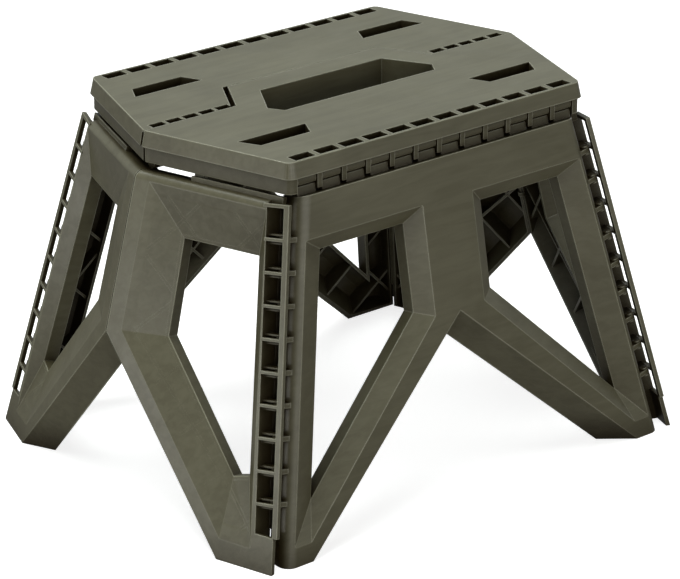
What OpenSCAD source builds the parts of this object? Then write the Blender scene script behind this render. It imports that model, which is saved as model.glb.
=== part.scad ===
// Folding stool of eight moulded pieces: two seat halves, two long leg panels
// and four half end panels, joined by rows of snap hinges. It stands open.
// Origin on the floor under the centre of the seat, X along the seat's length.

/* [Seat] */
// Height of the top face above the floor
seat_h = 247; // [244:1:250]
// Half length of the straight front and rear edges
edge_half = 120; // [118:0.5:122]
// Half width of the seat, from the centre seam to a straight edge
seat_half_w = 105; // [104:0.5:106]
// Half length of the seat, from its centre to a pointed end
apex_half = 153.5; // [152:0.5:155]
// Height of each of the two tiers of the rim
tier_h = 10.5; // [10.25:0.25:11]
// Flare of the upper tier at its lower edge
flare = 2.3; // [1:0.1:2.6]
// Thickness of the deck
deck_t = 3; // [2:0.25:4]
// Gap of the seams between the seat halves
seam_gap = 0.5; // [0.4:0.1:0.8]
// Half width of the tongue where it leaves the front half
tongue_root = 81.5; // [80:0.5:82]
// Half width of the tongue at its end
tongue_tip = 62.9; // [60:0.5:65]
// Length of the tongue behind the centre seam
tongue_len = 33.4; // [31:0.2:36]
// Width of the open slot along the left side of the tongue
tongue_slot = 3.6; // [1:0.2:4]
// Radius of the upright corners of the seat
corner_r = 5; // [2:0.5:7]

/* [Handle slot and recesses] */
// Half width of the handle slot at its front edge, its shoulders and its rear edge
handle_half = [62.5, 68.6, 51];
// Distance of those three behind the centre seam
handle_y = [-26.6, -16.7, 14.1];
// Half lengths of a recess, from the centre of the seat, at its inner side
recess_inner = [68.1, 121];
// The same at its outer side
recess_outer = [74.9, 113.7];
// Distance of the inner and outer sides of a recess from the centre seam
recess_y = [54.3, 68.3];
// Depth of a recess
recess_depth = 12; // [8:0.5:14]

/* [Leg panels] */
// Slope of a long panel from the vertical, in degrees
splay = 10.5; // [10:0.25:11]
// Distance of a long panel's foot from the centre
foot_y = 150; // [149:0.5:151]
// Distance of a corner of the feet from the centre, along the seat
corner_x = 171.5; // [170:0.5:173]
// Lean of the corner line within a long panel, in degrees
corner_lean = 11.5; // [11:0.25:12]
// Thickness of a panel
panel_t = 17; // [16.5:0.25:17.5]
// Thickness of the moulded walls
wall_t = 2.4; // [1.8:0.2:2.8]
// Thickness of the ribs on the hidden sides
rib_t = 1.8; // [1.2:0.2:2.4]
// Distance between crossed ribs
rib_pitch = 36; // [28:1:48]
// Depth of the sloping walls round the openings
bevel_depth = 7.5; // [6:0.25:9]
// Radius of the rounded top edge of an end panel
end_top_r = 5.5; // [3:0.25:6.5]

/* [Hinges] */
// Radius of every moulded hinge pin
pin_r = 1.5; // [1.25:0.05:1.75]
// Radial clearance of a pin in its bore
pin_clear = 0.05; // [0.03:0.01:0.1]
// Side clearance between hinge pieces
side_gap = 0.3; // [0.3:0.05:0.5]
// Radius of the corner and centre knuckles
knuckle_r = 3.4; // [3:0.1:3.6]
// Distance of the rim hinge from the seat's outer face
rim_inset = 6; // [5.8:0.1:6.4]
// Height of the rim hinge above the seat's underside
rim_rise = 7; // [6.8:0.1:7.4]
// Number of hooks along a rim
rim_count = 12; // [8:1:12]
// Distance between hooks along a rim
rim_pitch = 19.3; // [18.5:0.1:19.6]
// Width of a window in the rim
rim_window = 15.5; // [14.5:0.1:16]
// Number of windows on each side of the centre hinge
centre_count = 5; // [3:1:5]
// Distance between the windows of the centre hinge
centre_pitch = 12.8; // [12.2:0.1:13]
// Number of rungs along a corner
rung_count = 9; // [5:1:9]
// Distance between rungs
rung_pitch = 20.6; // [19:0.1:20.8]

/* [Hidden] */
$fn = 24;
olive = [0.36, 0.36, 0.29];
// Overrun of every cut
over = 1;
// A length beyond every part of the stool, for trimming
far = 400;
// Thickness of the thin slices that a sloping wall is drawn between
slice = 0.01;

// Heights of the seat
under_z = seat_h - 2 * tier_h;
step_z = seat_h - tier_h;
// Turn of the seat's pointed ends and of the end panels about the vertical
end_turn = atan((apex_half - edge_half) / seat_half_w);

// Rim hinge, in the stool's frame and in a long panel's frame
rim_y = seat_half_w - rim_inset;
rim_z = under_z + rim_rise;
rim_v = (foot_y - rim_y) * sin(splay) + rim_z * cos(splay);
rim_w = -(foot_y - rim_y) * cos(splay) + rim_z * sin(splay);
// Clearance between the folded panels
fold_gap = 0.25;
// Centre hinge, lowered so that the folded panels lie back to back
centre_z = under_z - (panel_t + rim_w - rim_rise + fold_gap);

// Slope of an end panel, the lean of the corner line in it, and the corner's turn
end_slope = atan((tan(corner_lean) * cos(end_turn) + sin(splay) * sin(end_turn)) / cos(splay));
end_lean = atan((cos(corner_lean) * sin(splay) * cos(end_turn) - sin(corner_lean) * sin(end_turn))
    / sqrt(pow(sin(corner_lean) * cos(end_turn) + cos(corner_lean) * sin(splay) * sin(end_turn), 2)
        + pow(cos(corner_lean) * cos(splay), 2)));
corner_turn = acos(cos(end_slope) * sin(end_turn) * cos(splay) + sin(end_slope) * sin(splay));
// Depth of the corner hinge below both skins, and its distance from the corner line
corner_deep = 7;
corner_off = corner_deep * tan(corner_turn / 2);

// Rim of the seat
rim_wall = 1.6;
rim_hook_r = 3.6;
rim_room = 0.4;
rim_pocket_in = rim_y - rim_hook_r - rim_room;
rim_band = rim_pocket_in - wall_t;
rim_pin_end = 2.6;
hook_gap = 0.6;
hook_w = rim_window - 2 * hook_gap;
hook_arm_t = 4;
hook_heel = 3.2;
hook_heel_drop = 4.4;
nose_room = 0.3;
nose_r = norm([rim_inset - rim_wall, step_z - rim_z]) - nose_room;
nose_top = 1.4;
nose_drop = 3.2;
snap_mouth = 2.4;

// Centre hinge
centre_first = tongue_root + wall_t + seam_gap;
centre_window = 10.5;
centre_depth = 5.8;
centre_band = 9;
centre_relief = 0.3;
finger_top = 9;
apex_gap = 2.2;
apex_gap_in = 0.6;
apex_gap_drop = 1.5;

// Long panel
top_drop = 10.1;
long_top = rim_v - top_drop;
edge_in = 5;
edge_round = 8.5;
edge_trim = 0.2;
foot_web = panel_t * tan(splay) + wall_t;
// Shares of corner_x and rim_v in this panel's points
arch_shares = [0.758, 0.5327];
arch_top = arch_shares[1] * rim_v;
arch_foot = arch_shares[0] * corner_x;
arch_v = 3;
arch_toe_r = 16;
toe_steps = 4;
arch_draft = 18.4;
hopper_skin_shares = [[0.1207, 0.5382], [0.8122, 0.052], [0.8898, 0.052], [0.6706, 0.8432],
    [0.1207, 0.8432]];
hopper_inner_shares = [[0.1895, 0.5579], [0.7592, 0.156], [0.579, 0.8029], [0.1895, 0.8029]];

// End panel
end_drop = 3.5;
end_top = (under_z - end_drop) / cos(end_slope);
end_wall_in = 9.6;
// Shares of foot_y and end_top in this panel's points
end_strut_shares = [[0.2887, 0], [0.9847, 0.539]];
end_draft = 12;
end_hopper_skin_shares = [[0.13, 0.0562], [0.2867, 0.058], [0.9067, 0.5521], [0.856, 0.9756],
    [0.2627, 0.9765]];
end_hopper_inner_shares = [[0.208, 0.244], [0.2867, 0.2309], [0.6967, 0.5608], [0.6787, 0.8388],
    [0.3013, 0.8414]];
end_seam = 0.3;
end_foot_s = 1.2;
end_return = 1.5;
end_return_t = 1.6;
rail_out = 6.6;
rail_w = 3.7;
rail_t = 3;
rail_start = 23.5;
rail_rise = 1.3;
rail_end = end_top + rail_rise;
rung_t = 2;
rung_first = 44;
lug_t = 1.2;
knuckle_w = 3.2;
top_bar = 2.3;
lip_shares = [0.2133, 0.6733];
lip_h = 3;
lip_t = 4;
apex_shares = [0.5839, 0.9717];
apex_v = apex_shares * end_top;
apex_lug_t = 3;
apex_lug_r = 3;
apex_lugs = 5;
apex_clear = 0.4;

// Outline helpers
function side_n(p, q) = [q[1] - p[1], p[0] - q[0]] / norm(q - p);
function grown(pts, g) = [for (i = [0 : len(pts) - 1])
    let (n = len(pts), a = side_n(pts[(i + n - 1) % n], pts[i]), b = side_n(pts[i], pts[(i + 1) % n]))
    pts[i] + (a + b) * g / (1 + a * b)];
function seat_outline() = [[-edge_half, -seat_half_w], [edge_half, -seat_half_w], [apex_half, 0],
    [edge_half, seat_half_w], [-edge_half, seat_half_w], [-apex_half, 0]];
// Points from their shares of a size along and a size up
function placed(shares, size) = [for (p = shares) [p[0] * size[0], p[1] * size[1]]];
function rim_x(i) = (i - (rim_count - 1) / 2) * rim_pitch;

module slab(pts, z0, z1) {
    translate([0, 0, z0]) linear_extrude(height = z1 - z0) polygon(pts);
}
// The same with rounded corners
module soft_slab(pts, r, z0, z1) {
    translate([0, 0, z0]) linear_extrude(height = z1 - z0) offset(r = r) polygon(grown(pts, -r));
}
module box(x, y, z) {
    translate([x[0], y[0], z[0]]) cube([x[1] - x[0], y[1] - y[0], z[1] - z[0]]);
}
module bar_x(x0, x1, r) {
    translate([x0, 0, 0]) rotate([0, 90, 0]) cylinder(r = r, h = x1 - x0);
}
module bar_y(y0, y1, r) {
    translate([0, y0, 0]) rotate([-90, 0, 0]) cylinder(r = r, h = y1 - y0);
}
module crossed_ribs(z0, z1, turn, span) {
    for (a = [turn, turn + 90], k = [-floor(span / rib_pitch) : floor(span / rib_pitch)])
        rotate([0, 0, a]) box([k * rib_pitch, k * rib_pitch + rib_t], [-far, far], [z0, z1]);
}

// The seat before it is hollowed: a straight lower tier and a flared upper one
module seat_block() {
    soft_slab(seat_outline(), corner_r, under_z, step_z + slice);
    hull() {
        soft_slab(grown(seat_outline(), flare), corner_r + flare, step_z, step_z + slice);
        soft_slab(seat_outline(), corner_r, seat_h - slice, seat_h);
    }
}
function front_plan() = [[-far, -far], [far, -far], [far, -seam_gap / 2], [tongue_root, -seam_gap / 2],
    [tongue_tip, tongue_len], [-tongue_tip, tongue_len], [-tongue_root, -seam_gap / 2],
    [-far, -seam_gap / 2]];
function rear_plan() = [[-far, seam_gap / 2], [-tongue_root - tongue_slot, seam_gap / 2],
    [-tongue_tip - tongue_slot, tongue_len + seam_gap], [tongue_tip + seam_gap, tongue_len + seam_gap],
    [tongue_root + seam_gap, seam_gap / 2], [far, seam_gap / 2], [far, far], [-far, far]];
function handle_outline() = [[-handle_half[0], handle_y[0]], [handle_half[0], handle_y[0]],
    [handle_half[1], handle_y[1]], [handle_half[2], handle_y[2]], [-handle_half[2], handle_y[2]],
    [-handle_half[1], handle_y[1]]];
function recess_outline() = [[recess_outer[0], -recess_y[1]], [recess_outer[1], -recess_y[1]],
    [recess_inner[1], -recess_y[0]], [recess_inner[0], -recess_y[0]]];
function inner_half(y) = apex_half - wall_t / cos(end_turn) - abs(y) * tan(end_turn);

module rim_pockets() {
    for (i = [0 : rim_count - 1]) {
        x = [rim_x(i) - rim_window / 2, rim_x(i) + rim_window / 2];
        box(x, [-seat_half_w + rim_wall, -rim_pocket_in], [under_z - over, seat_h + over]);
        box(x, [-seat_half_w - over, -rim_pocket_in], [under_z - over, step_z]);
    }
}
module rim_pin() {
    end = rim_x(rim_count - 1) + rim_window / 2 + rim_pin_end;
    translate([0, -rim_y, rim_z]) bar_x(-end, end, pin_r);
}
module seat_recesses(g, z0) {
    for (m = [0, 1]) mirror([m, 0, 0]) slab(grown(recess_outline(), g), z0, seat_h + over);
}
module seat_cavity_walls() {
    seat_recesses(wall_t, seat_h - recess_depth - wall_t);
    crossed_ribs(under_z + wall_t, seat_h, 0, apex_half);
}

module seat_front() color(olive) {
    difference() {
        intersection() {
            seat_block();
            slab(front_plan(), under_z - over, seat_h + over);
        }
        difference() {
            union() {
                slab([[-inner_half(rim_band), -rim_band], [inner_half(rim_band), -rim_band],
                    [inner_half(centre_band), -centre_band], [-inner_half(centre_band), -centre_band]],
                    under_z - over, seat_h - deck_t);
                slab([[-tongue_root + wall_t, -centre_band - over],
                    [tongue_root - wall_t, -centre_band - over],
                    [tongue_tip - wall_t, tongue_len - wall_t],
                    [-tongue_tip + wall_t, tongue_len - wall_t]],
                    under_z - over, seat_h - deck_t);
            }
            seat_cavity_walls();
            slab(grown(handle_outline(), wall_t), under_z - over, seat_h);
        }
        slab(handle_outline(), under_z - over, seat_h + over);
        seat_recesses(0, seat_h - recess_depth);
        rim_pockets();
        for (m = [0, 1]) mirror([m, 0, 0]) centre_hollows(0);
    }
    rim_pin();
    for (m = [0, 1]) mirror([m, 0, 0]) centre_fingers();
}
// Relief in the front half round the rear half's lugs
module centre_hollows(side) {
    for (k = [0 : centre_count]) {
        x = centre_first - (centre_pitch - centre_window) - side_gap + k * centre_pitch;
        translate([0, 0, centre_z])
            bar_x(x, x + centre_pitch - centre_window + 2 * side_gap, knuckle_r + centre_relief);
    }
}
// Hooked fingers of the front half, one in each window of the centre hinge
module centre_fingers() {
    for (k = [0 : centre_count - 1]) {
        x = centre_first + k * centre_pitch;
        difference() {
            union() {
                translate([0, 0, centre_z])
                    bar_x(x + side_gap, x + centre_window - side_gap, knuckle_r);
                box([x + side_gap, x + centre_window - side_gap], [-knuckle_r, knuckle_r],
                    [centre_z, under_z + finger_top]);
                box([x + side_gap, x + centre_window - side_gap], [-centre_band, -seam_gap],
                    [centre_z + knuckle_r / 2, under_z + over]);
            }
            translate([0, 0, centre_z]) bar_x(x, x + centre_window, pin_r + pin_clear);
        }
    }
}

module seat_rear() color(olive) {
    difference() {
        intersection() {
            seat_block();
            slab(rear_plan(), under_z - over, seat_h + over);
        }
        difference() {
            slab([[-inner_half(rim_band), rim_band], [-inner_half(centre_band), centre_band],
                [-tongue_root - tongue_slot - wall_t, centre_band],
                [-tongue_tip - tongue_slot - wall_t, tongue_len + seam_gap + wall_t],
                [tongue_tip + seam_gap + wall_t, tongue_len + seam_gap + wall_t],
                [tongue_root + seam_gap + wall_t, centre_band],
                [inner_half(centre_band), centre_band], [inner_half(rim_band), rim_band]],
                under_z - over, seat_h - deck_t);
            mirror([0, 1, 0]) seat_cavity_walls();
        }
        mirror([0, 1, 0]) {
            seat_recesses(0, seat_h - recess_depth);
            rim_pockets();
        }
        for (m = [0, 1]) mirror([m, 0, 0]) for (k = [0 : centre_count - 1])
            box([centre_first + k * centre_pitch, centre_first + k * centre_pitch + centre_window],
                [-over, centre_depth], [under_z - over, seat_h + over]);
        for (m = [0, 1]) mirror([m, 0, 0])
            box([centre_first + centre_count * centre_pitch + apex_gap_in, far], [-over, apex_gap],
                [under_z - over, seat_h - apex_gap_drop]);
    }
    mirror([0, 1, 0]) rim_pin();
    for (m = [0, 1]) mirror([m, 0, 0]) centre_lugs();
}
// Lugs and moulded pin of the rear half
module centre_lugs() {
    lug = centre_pitch - centre_window;
    translate([0, 0, centre_z])
        bar_x(centre_first - lug, centre_first + centre_count * centre_pitch, pin_r);
    for (k = [0 : centre_count]) {
        x = centre_first - lug + k * centre_pitch;
        translate([0, 0, centre_z]) bar_x(x, x + lug, knuckle_r);
        box([x, x + lug], [seam_gap / 2, knuckle_r], [centre_z, under_z + over]);
    }
}

// Long panel in its own frame: x along, y up the slope, z out of the skin
module long_edge(turned) {
    mirror([turned, 0, 0]) translate([corner_x, 0, 0]) rotate([0, 0, corner_lean]) children();
}
function long_side(v) = corner_x - v * tan(corner_lean) - (corner_off + edge_in) / cos(corner_lean);
function long_outline() = [[-long_side(-foot_web), -foot_web], [long_side(-foot_web), -foot_web],
    [long_side(long_top), long_top], [-long_side(long_top), long_top]];
module edge_waste(r) {
    x = -corner_off - edge_in - edge_round;
    difference() {
        box([x, far], [-far, far], [-edge_round, over]);
        translate([x, 0, -edge_round]) bar_y(-far - over, far + over, r);
    }
}
// An opening with sloping walls, from its outline in the skin to a smaller one behind,
// both grown by g
module sloped(skin, inner, g) {
    hull() {
        slab(grown(skin, g), 0, slice);
        slab(grown(inner, g), -bevel_depth - slice, -bevel_depth);
    }
    slab(grown(inner, g), -panel_t - over, -bevel_depth);
}
// A toe at x, rounded between the floor and a side that falls to it at an angle
function toe(x, fall, r) = [for (k = [0 : toe_steps]) let (a = -90 - fall * k / toe_steps)
    [x + r * tan(fall / 2) + r * cos(a), r + r * sin(a)]];
module long_opening(g) {
    size = [corner_x, rim_v];
    sloped(placed(hopper_skin_shares, size), placed(hopper_inner_shares, size), g);
}
function arch_outline(top, foot) = let (fall = atan((top - arch_v) / foot),
    t = toe(foot * top / (top - arch_v), fall, arch_toe_r), n = len(t) - 1)
    concat([[-t[0][0], -far], [t[0][0], -far]], t, [[0, top]],
        [for (k = [n : -1 : 0]) [-t[k][0], t[k][1]]]);
module arch(g) {
    hull() {
        slab(grown(arch_outline(arch_top, arch_foot), g), 0, slice);
        slab(grown(arch_outline(arch_top - arch_draft, arch_foot - arch_draft), g),
            -panel_t - slice, -panel_t);
    }
}
module long_hook() {
    difference() {
        union() {
            bar_x(-hook_w / 2, hook_w / 2, rim_hook_r);
            intersection() {
                bar_x(-hook_w / 2, hook_w / 2, nose_r);
                box([-hook_w, hook_w], [-nose_drop, nose_top], [0, nose_r]);
            }
            box([-hook_w / 2, hook_w / 2], [long_top - rim_v - wall_t, 0],
                [-hook_arm_t / 2, hook_arm_t / 2]);
            box([-hook_w / 2, hook_w / 2], [long_top - rim_v - wall_t, -hook_heel_drop], [0, hook_heel]);
        }
        bar_x(-hook_w, hook_w, pin_r + pin_clear);
        box([-hook_w, hook_w], [0, rim_hook_r + over], [-snap_mouth / 2, snap_mouth / 2]);
    }
}
module long_knuckles() {
    for (k = [0 : rung_count - 1])
        translate([-corner_off, rung_first + k * rung_pitch, -corner_deep]) {
            bar_y(-knuckle_w / 2, knuckle_w / 2, knuckle_r);
            box([-edge_in - wall_t, 0], [-knuckle_w / 2, knuckle_w / 2], [-knuckle_r, knuckle_r]);
            bar_y(-knuckle_w / 2 - side_gap - lug_t, knuckle_w / 2 + side_gap + lug_t, pin_r);
        }
}
module long_panel() {
    difference() {
        slab(long_outline(), -panel_t, 0);
        for (m = [0, 1]) long_edge(m) edge_waste(edge_round);
        for (m = [0, 1]) mirror([m, 0, 0]) long_opening(0);
        arch(0);
        difference() {
            slab([[-long_side(foot_web) + wall_t, foot_web], [long_side(foot_web) - wall_t, foot_web],
                [long_side(long_top - wall_t) - wall_t, long_top - wall_t],
                [-long_side(long_top - wall_t) + wall_t, long_top - wall_t]],
                -panel_t - over, -wall_t);
            for (m = [0, 1]) long_edge(m) edge_waste(edge_round - wall_t - edge_trim);
            for (m = [0, 1]) mirror([m, 0, 0]) long_opening(wall_t);
            arch(wall_t);
            translate([rib_pitch / 2, 0, 0]) crossed_ribs(-panel_t + wall_t, 0, 45, corner_x + edge_half);
        }
    }
    for (i = [0 : rim_count - 1]) translate([rim_x(i), rim_v, rim_w]) long_hook();
    for (m = [0, 1]) long_edge(m) long_knuckles();
}
module long_placed() {
    difference() {
        translate([0, -foot_y, 0]) rotate([90 - splay, 0, 0]) long_panel();
        box([-far, far], [-far, far], [-far, 0]);
    }
}

// Front right end panel in its own frame: x from the corner line to the apex
module end_edge() {
    rotate([0, 0, -end_lean]) children();
}
module stool_in_end() {
    rotate([end_slope - 90, 0, 0]) rotate([0, 0, end_turn - 90])
        translate([-corner_x, foot_y, 0]) children();
}
function end_side(v, s) = s / cos(end_lean) + v * tan(end_lean);
function end_wall_s() = corner_off + end_wall_in;
end_strut = placed(end_strut_shares, [foot_y, end_top]);
strut_dir = (end_strut[1] - end_strut[0]) / norm(end_strut[1] - end_strut[0]);
strut_out = [strut_dir[1], -strut_dir[0]];
module strut_waste(g) {
    p = [end_strut[0] - strut_dir * foot_y, end_strut[1] + strut_dir * foot_y];
    hull() {
        slab([p[0] - strut_out * g, p[0] + strut_out * far, p[1] + strut_out * far, p[1] - strut_out * g],
            0, slice);
        slab([p[0] + strut_out * (end_draft - g), p[0] + strut_out * far, p[1] + strut_out * far,
            p[1] + strut_out * (end_draft - g)], -panel_t - slice, -panel_t);
    }
}
module end_opening(g) {
    size = [foot_y, end_top];
    sloped(placed(end_hopper_skin_shares, size), placed(end_hopper_inner_shares, size), g);
}
module seam_waste(g) {
    stool_in_end() box([-far, far], [-end_seam - g, far], [-far, far]);
}
module end_ladder() {
    bore = [corner_off, 0, -corner_deep];
    box([corner_off - rail_out, corner_off - rail_out + rail_w], [rail_start, rail_end], [-rail_t, 0]);
    box([corner_off - rail_out, end_wall_s() + wall_t], [rail_end - top_bar, rail_end], [-rail_t, 0]);
    box([end_wall_s() - end_return, end_wall_s() + wall_t / 2],
        [rail_start + wall_t, rail_end - top_bar - wall_t], [-panel_t + slice, -panel_t + end_return_t]);
    for (k = [0 : rung_count - 1]) translate([0, rung_first + k * rung_pitch, 0]) {
        box([corner_off - rail_out, end_wall_s() + wall_t / 2], [-rung_t / 2, rung_t / 2], [-rail_t, 0]);
        for (m = [0, 1]) mirror([0, m, 0])
            translate([corner_off, knuckle_w / 2 + side_gap, -corner_deep]) difference() {
                union() {
                    bar_y(0, lug_t, knuckle_r);
                    box([0, end_wall_in + wall_t / 2], [0, lug_t], [-knuckle_r, knuckle_r]);
                }
                bar_y(-over, lug_t + over, pin_r + pin_clear);
            }
    }
}
module end_body() {
    difference() {
        union() {
            slab([[end_side(rail_start, end_wall_s()), rail_start], [apex_half + panel_t, rail_start],
                [apex_half + panel_t, end_top], [end_side(end_top, end_wall_s()), end_top]], -panel_t, 0);
            slab([[end_side(-foot_web, end_foot_s), -foot_web], [apex_half + panel_t, -foot_web],
                [apex_half + panel_t, rail_start + slice],
                [end_side(rail_start, end_foot_s), rail_start + slice]], -rail_t, 0);
            slab([[end_side(-foot_web, end_wall_s()), -foot_web], [apex_half + panel_t, -foot_web],
                [apex_half + panel_t, rail_start + slice],
                [end_side(rail_start, end_wall_s()), rail_start + slice]], -panel_t, 0);
        }
        difference() {
            box([0, far], [end_top - end_top_r, end_top + over], [-end_top_r, over]);
            translate([0, end_top - end_top_r, -end_top_r]) bar_x(-over, far + over, end_top_r);
        }
        end_opening(0);
        strut_waste(0);
        seam_waste(0);
        difference() {
            slab([[end_side(foot_web, end_wall_s()) + wall_t, foot_web], [apex_half + panel_t, foot_web],
                [apex_half + panel_t, end_top - wall_t],
                [end_side(end_top, end_wall_s()) + wall_t, end_top - wall_t]], -panel_t - over, -wall_t);
            end_opening(wall_t);
            strut_waste(wall_t);
            seam_waste(wall_t);
            crossed_ribs(-panel_t + wall_t, 0, 45, corner_x + edge_half);
        }
    }
    box(lip_shares * foot_y, [end_top - wall_t, end_top + lip_h], [-end_top_r - lip_t, -end_top_r]);
    end_edge() end_ladder();
}
// Frame along the apex hinge, on the inside of the meeting edges
module apex_frame() {
    w = -panel_t - fold_gap;
    translate([(foot_y + w * cos(end_slope) * sin(end_turn)) / cos(end_turn), 0, w])
        rotate([0, 0, atan(sin(end_slope) * tan(end_turn))]) children();
}
function apex_lug_v(k) = apex_v[0] + k * (apex_v[1] - apex_v[0] - apex_lug_t) / (apex_lugs - 1);
module end_front_panel() {
    end_body();
    difference() {
        apex_frame() {
            bar_y(apex_v[0], apex_v[1], pin_r);
            for (k = [0 : apex_lugs - 1]) bar_y(apex_lug_v(k), apex_lug_v(k) + apex_lug_t, apex_lug_r);
        }
        box([-far, far], [-far, far], [0, far]);
    }
}
module end_rear_panel() {
    difference() {
        end_body();
        apex_frame() {
            bar_y(apex_v[0] - apex_clear, apex_v[1] + apex_clear, pin_r + apex_clear);
            for (k = [0 : apex_lugs - 1])
                bar_y(apex_lug_v(k) - apex_clear, apex_lug_v(k) + apex_lug_t + apex_clear,
                    apex_lug_r + apex_clear);
        }
    }
}
module end_placed() {
    difference() {
        translate([corner_x, -foot_y, 0]) rotate([90 - end_slope, 0, 90 - end_turn]) children();
        box([-far, far], [-far, far], [-far, 0]);
    }
}

module long_front() color(olive) long_placed();
module long_rear() color(olive) mirror([0, 1, 0]) long_placed();
module end_front_right() color(olive) end_placed() end_front_panel();
module end_front_left() color(olive) mirror([1, 0, 0]) end_placed() end_front_panel();
module end_rear_right() color(olive) mirror([0, 1, 0]) end_placed() end_rear_panel();
module end_rear_left() color(olive) mirror([1, 0, 0]) mirror([0, 1, 0]) end_placed() end_rear_panel();

seat_front();
seat_rear();
long_front();
long_rear();
end_front_left();
end_front_right();
end_rear_left();
end_rear_right();
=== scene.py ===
# Looks of the folding stool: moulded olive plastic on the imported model, a camera
# that matches the photograph, and a white studio. Lengths are in metres.
import math

import bpy
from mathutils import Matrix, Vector

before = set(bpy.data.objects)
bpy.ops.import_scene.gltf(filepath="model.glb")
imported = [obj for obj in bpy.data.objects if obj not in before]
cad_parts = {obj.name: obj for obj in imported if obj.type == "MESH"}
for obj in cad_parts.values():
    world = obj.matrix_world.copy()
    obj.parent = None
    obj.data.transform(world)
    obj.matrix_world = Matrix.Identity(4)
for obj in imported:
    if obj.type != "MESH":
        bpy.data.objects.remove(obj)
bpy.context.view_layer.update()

scene = bpy.context.scene
scene.view_settings.view_transform = "Standard"

# Colours of the plastic: its three flow shades, the painted highlight on its edges, and the painted
# shade in its corners
DARK = (0.070, 0.062, 0.031)
BASE = (0.095, 0.086, 0.047)
PALE = (0.126, 0.116, 0.070)
# painted highlight colour laid on the edges
EDGE_HIGHLIGHT = (0.38, 0.37, 0.28)
# painted shade colour multiplied into the corners
PAINTED_CORNER_SHADE = (0.26, 0.20, 0.15)
# Radius of the softened edges, how strongly their painted highlight shows, and how far the painted
# corner shade reaches from a wall
EDGE_RADIUS = 0.0012
EDGE_HIGHLIGHT_GAIN, EDGE_HIGHLIGHT_MOST = 14.0, 0.9
CORNER_SHADE_REACH = 0.03
# Roughness and specular level of the plastic, from lowest to highest
ROUGHNESS = (0.28, 0.44)
SPECULAR = (0.10, 0.55)
# Strength and height of the moulded waves and of the grain
WAVES = (0.10, 0.0006)
GRAIN = (0.06, 0.0001)

# How bright the studio and its floor are in the plastic's reflections, and the room's light
SHEEN, SHEEN_TINT = 0.60, (0.94, 1, 1)
FLOOR_SHEEN = 0.22
ROOM_LIGHT = 0.06
# The floor: half its size, its drop below the feet, its grey and its white
FLOOR_HALF, FLOOR_DROP = 4.0, 0.0002
FLOOR_GREY = (0.46, 0.46, 0.45)
FLOOR_WHITE = 0.8

# The photograph, and the camera fitted to it, in pixels, metres and degrees
WIDTH_PX, HEIGHT_PX = 680, 579
FOCAL_PX, CENTRE_PX = 3146.46, (376.0, 289.5)
CAMERA_AT = (-1.2184, -1.5194, 0.917)
CAMERA_DOWN, CAMERA_TURN = 22.81, -39.51
SENSOR_MM = 36
CLIP_END = 50

# Lamps: name, place, what they face, size, power and colour
LAMPS = [
    ("top", (-0.3, 0.2, 2.0), (0, 0, 0.2), (1.8, 1.2), 42, (0.95, 1.0, 0.97)),
    ("left", (-1.1, 0.08, 0.07), (-0.15, 0, 0.05), (0.7, 0.14), 1.8, (1.0, 1.0, 0.98)),
    ("right", (1.9, 0.7, 0.35), (0, 0, 0.12), (1.0, 0.6), 6, (1.0, 1.0, 0.98)),
    ("front", (-0.35, -2.2, 0.40), (0, 0, 0.12), (2.8, 1.2), 19, (1.0, 0.98, 0.94)),
]

# Turn of the flow marks on each piece
FLOW_TURNS = {
    "seat_front": (0, 0, 0.5), "seat_rear": (0, 0, -0.4),
    "long_front": (0.2, 0.9, 0), "long_rear": (0.2, -0.9, 0),
    "end_front_left": (0.9, 0.2, 0), "end_front_right": (0.9, -0.2, 0.3),
    "end_rear_left": (-0.9, 0.2, 0.1), "end_rear_right": (-0.9, -0.2, 0.2),
}


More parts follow.
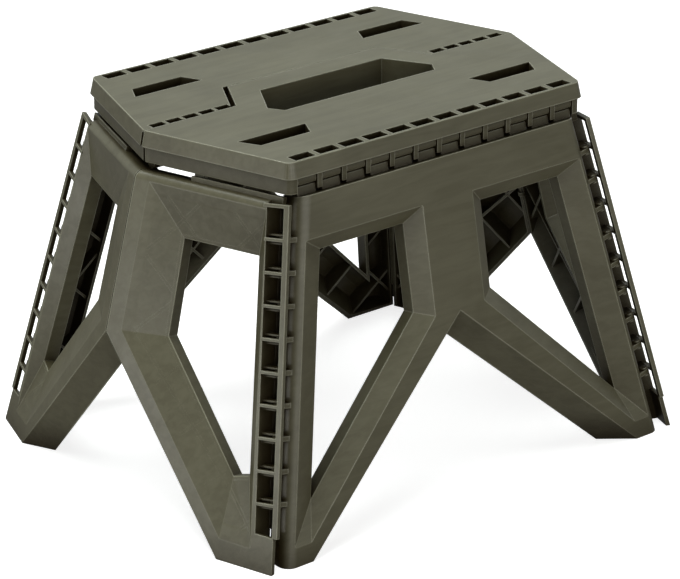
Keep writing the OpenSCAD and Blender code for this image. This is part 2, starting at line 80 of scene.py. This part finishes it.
class Tree:
    """The node tree of a material or world, with short calls to build it."""

    def __init__(self, owner, output):
        owner.use_nodes = True
        self.tree = owner.node_tree
        self.tree.nodes.clear()
        self.out = self.node(output)

    def node(self, kind, inputs=None, **values):
        """A node with its settings, and its inputs set or linked by name or number."""
        made = self.tree.nodes.new(kind)
        for key, value in values.items():
            setattr(made, key, value)
        for key, value in (inputs or {}).items():
            self.feed(made.inputs[key], value)
        return made

    def feed(self, socket, value):
        if isinstance(value, bpy.types.NodeSocket):
            self.tree.links.new(value, socket)
        elif socket.type == "RGBA" and len(value) == 3:
            socket.default_value = (*value, 1)
        else:
            socket.default_value = value

    def coords(self, scale=(1, 1, 1), turn=(0, 0, 0)):
        place = self.node("ShaderNodeTexCoord").outputs["Object"]
        return self.node("ShaderNodeMapping", {"Vector": place, "Scale": scale,
                                               "Rotation": turn}).outputs["Vector"]

    def noise(self, vector, scale, detail, rough=0.5, warp=0.0):
        return self.node("ShaderNodeTexNoise", {
            "Vector": vector, "Scale": scale, "Detail": detail, "Roughness": rough,
            "Distortion": warp}).outputs["Fac"]

    def ramp(self, fac, stops):
        made = self.node("ShaderNodeValToRGB", {"Fac": fac})
        elements = made.color_ramp.elements
        for element, (position, colour) in zip(elements, (stops[0], stops[-1])):
            element.position, element.color = position, (*colour, 1)
        for position, colour in stops[1:-1]:
            elements.new(position).color = (*colour, 1)
        return made.outputs["Color"]

    def fade(self, fac, low, high):
        """Black below low, white above high."""
        return self.ramp(fac, [(low, (0, 0, 0)), (high, (1, 1, 1))])

    def mix(self, fac, a, b, blend="MIX"):
        made = self.node("ShaderNodeMix", data_type="RGBA", blend_type=blend)
        for socket, value in zip((0, 6, 7), (fac, a, b)):
            self.feed(made.inputs[socket], value)
        return made.outputs[2]

    def math(self, operation, a, b):
        return self.node("ShaderNodeMath", {0: a, 1: b}, operation=operation).outputs[0]

    def span(self, fac, low, high):
        return self.node("ShaderNodeMapRange", {"Value": fac, "To Min": low,
                                                "To Max": high}).outputs["Result"]

    def bump(self, height, strength, distance, normal):
        return self.node("ShaderNodeBump", {"Height": height, "Strength": strength,
                                            "Distance": distance,
                                            "Normal": normal}).outputs["Normal"]

    def by_ray(self, seen, mirrored, other):
        """One shader for the camera, one for reflections and one for all other light."""
        path = self.node("ShaderNodeLightPath")
        unseen = self.node("ShaderNodeMixShader", {0: path.outputs["Is Glossy Ray"],
                                                   1: other, 2: mirrored})
        both = self.node("ShaderNodeMixShader", {0: path.outputs["Is Camera Ray"],
                                                 1: unseen.outputs[0], 2: seen})
        self.feed(self.out.inputs["Surface"], both.outputs[0])


def olive(name, turn):
    """Moulded olive plastic: a low sheen, faint flow marks that run along `turn`, a
    very fine grain, soft edges with a painted highlight, and painted shade in the corners."""
    mat = bpy.data.materials.new(name)
    t = Tree(mat, "ShaderNodeOutputMaterial")

    # flow marks, broad streaks and fine drawn lines
    flow = t.noise(t.coords(turn=turn), 9.0, 3.0, warp=1.6)
    colour = t.ramp(flow, [(0.32, DARK), (0.52, BASE), (0.70, PALE)])
    streak = t.noise(t.coords((0.35, 2.2, 2.2), turn), 16.0, 2.0, warp=2.4)
    colour = t.mix(t.span(streak, 0.0, 0.35), colour, PALE)
    drawn = t.noise(t.coords((7.0, 60.0, 60.0), turn), 3.0, 3.0, 0.6, 0.6)
    colour = t.mix(t.fade(drawn, 0.38, 0.62), t.mix(0.30, colour, DARK), t.mix(0.38, colour, PALE))

    # painted edge highlight: paler where the softened normal leaves the flat one
    soft = t.node("ShaderNodeBevel", {"Radius": EDGE_RADIUS}, samples=6).outputs["Normal"]
    flat = t.node("ShaderNodeNewGeometry").outputs["Normal"]
    along = t.node("ShaderNodeVectorMath", {0: soft, 1: flat}, operation="DOT_PRODUCT").outputs["Value"]
    edge_highlight = t.math("MULTIPLY", t.math("SUBTRACT", 1.0, along), EDGE_HIGHLIGHT_GAIN)
    edge_highlight = t.math("MINIMUM", t.math("MAXIMUM", edge_highlight, 0.0), EDGE_HIGHLIGHT_MOST)

    # painted shade: the corners of slots and cells are darkened from ambient occlusion and get less
    # specular, and the painted edge highlight is kept out of them
    corner_shade_ao = t.node("ShaderNodeAmbientOcclusion", {"Distance": CORNER_SHADE_REACH}, samples=4)
    unshaded = t.fade(corner_shade_ao.outputs["AO"], 0.36, 0.94)
    # paints the edge highlight, kept out of the shaded corners
    colour = t.mix(t.math("MULTIPLY", edge_highlight, unshaded), colour, EDGE_HIGHLIGHT)
    # paints the shade into the corners
    colour = t.mix(unshaded, t.mix(1.0, colour, PAINTED_CORNER_SHADE, "MULTIPLY"), colour)

    patches = t.noise(t.coords(turn=turn), 38.0, 3.0, 0.6, 0.4)
    waves = t.noise(t.coords(), 26.0, 2.0, warp=0.8)
    grain = t.noise(t.coords(), 1400.0, 2.0, 0.6)
    # the specular level drops with the painted corner shade, a painted shade on the sheen
    plastic = t.node("ShaderNodeBsdfPrincipled", {
        "Base Color": colour,
        "Roughness": t.span(patches, *ROUGHNESS),
        "Specular IOR Level": t.span(unshaded, *SPECULAR),
        "Normal": t.bump(grain, *GRAIN, t.bump(waves, *WAVES, soft))})
    t.feed(t.out.inputs["Surface"], plastic.outputs["BSDF"])
    return mat


def put(name, data, place, turn=(0, 0, 0)):
    obj = bpy.data.objects.new(name, data)
    obj.location = place
    obj.rotation_euler = turn
    scene.collection.objects.link(obj)
    return obj


def camera():
    data = bpy.data.cameras.new("camera")
    data.sensor_width = SENSOR_MM
    data.lens = FOCAL_PX * SENSOR_MM / WIDTH_PX
    data.shift_x = (WIDTH_PX / 2 - CENTRE_PX[0]) / WIDTH_PX
    data.shift_y = (CENTRE_PX[1] - HEIGHT_PX / 2) / WIDTH_PX
    data.clip_end = CLIP_END
    return put("camera", data, CAMERA_AT,
               (math.radians(90 - CAMERA_DOWN), 0, math.radians(CAMERA_TURN)))


def lamp(name, place, target, size, power, colour):
    data = bpy.data.lights.new(name, "AREA")
    data.shape = "RECTANGLE"
    data.size, data.size_y = size
    data.energy = power
    data.color = colour
    turn = (Vector(target) - Vector(place)).to_track_quat("-Z", "Y").to_euler()
    put(name, data, place, turn).visible_camera = False


def floor():
    """A pale floor that the camera sees as white, with a faint shadow."""
    h, z = FLOOR_HALF, -FLOOR_DROP
    mesh = bpy.data.meshes.new("floor")
    mesh.from_pydata([(-h, -h, z), (h, -h, z), (h, h, z), (-h, h, z)], [], [(0, 1, 2, 3)])
    mat = bpy.data.materials.new("floor")
    t = Tree(mat, "ShaderNodeOutputMaterial")
    grey = t.node("ShaderNodeBsdfDiffuse", {"Color": FLOOR_GREY})
    white = t.node("ShaderNodeBsdfDiffuse", {"Color": (FLOOR_WHITE,) * 3})
    glow = t.node("ShaderNodeEmission", {"Strength": FLOOR_WHITE})
    seen = t.node("ShaderNodeAddShader", {0: white.outputs[0], 1: glow.outputs[0]})
    mirrored = t.node("ShaderNodeEmission", {"Strength": FLOOR_SHEEN})
    t.by_ray(seen.outputs[0], mirrored.outputs[0], grey.outputs[0])
    mesh.materials.append(mat)
    put("floor", mesh, (0, 0, 0))


def studio():
    """White to the camera, paler in reflections, and little light of its own."""
    world = bpy.data.worlds.new("studio")
    scene.world = world
    t = Tree(world, "ShaderNodeOutputWorld")
    lights = [t.node("ShaderNodeBackground", {"Color": colour, "Strength": strength}).outputs[0]
              for colour, strength in (((1, 1, 1), 1.0), (SHEEN_TINT, SHEEN), ((1, 1, 1), ROOM_LIGHT))]
    t.by_ray(*lights)


for name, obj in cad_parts.items():
    obj.data.materials.clear()
    obj.data.materials.append(olive("olive_" + name, FLOW_TURNS.get(name, (0, 0, 0))))
scene.camera = camera()
for settings in LAMPS:
    lamp(*settings)
floor()
studio()
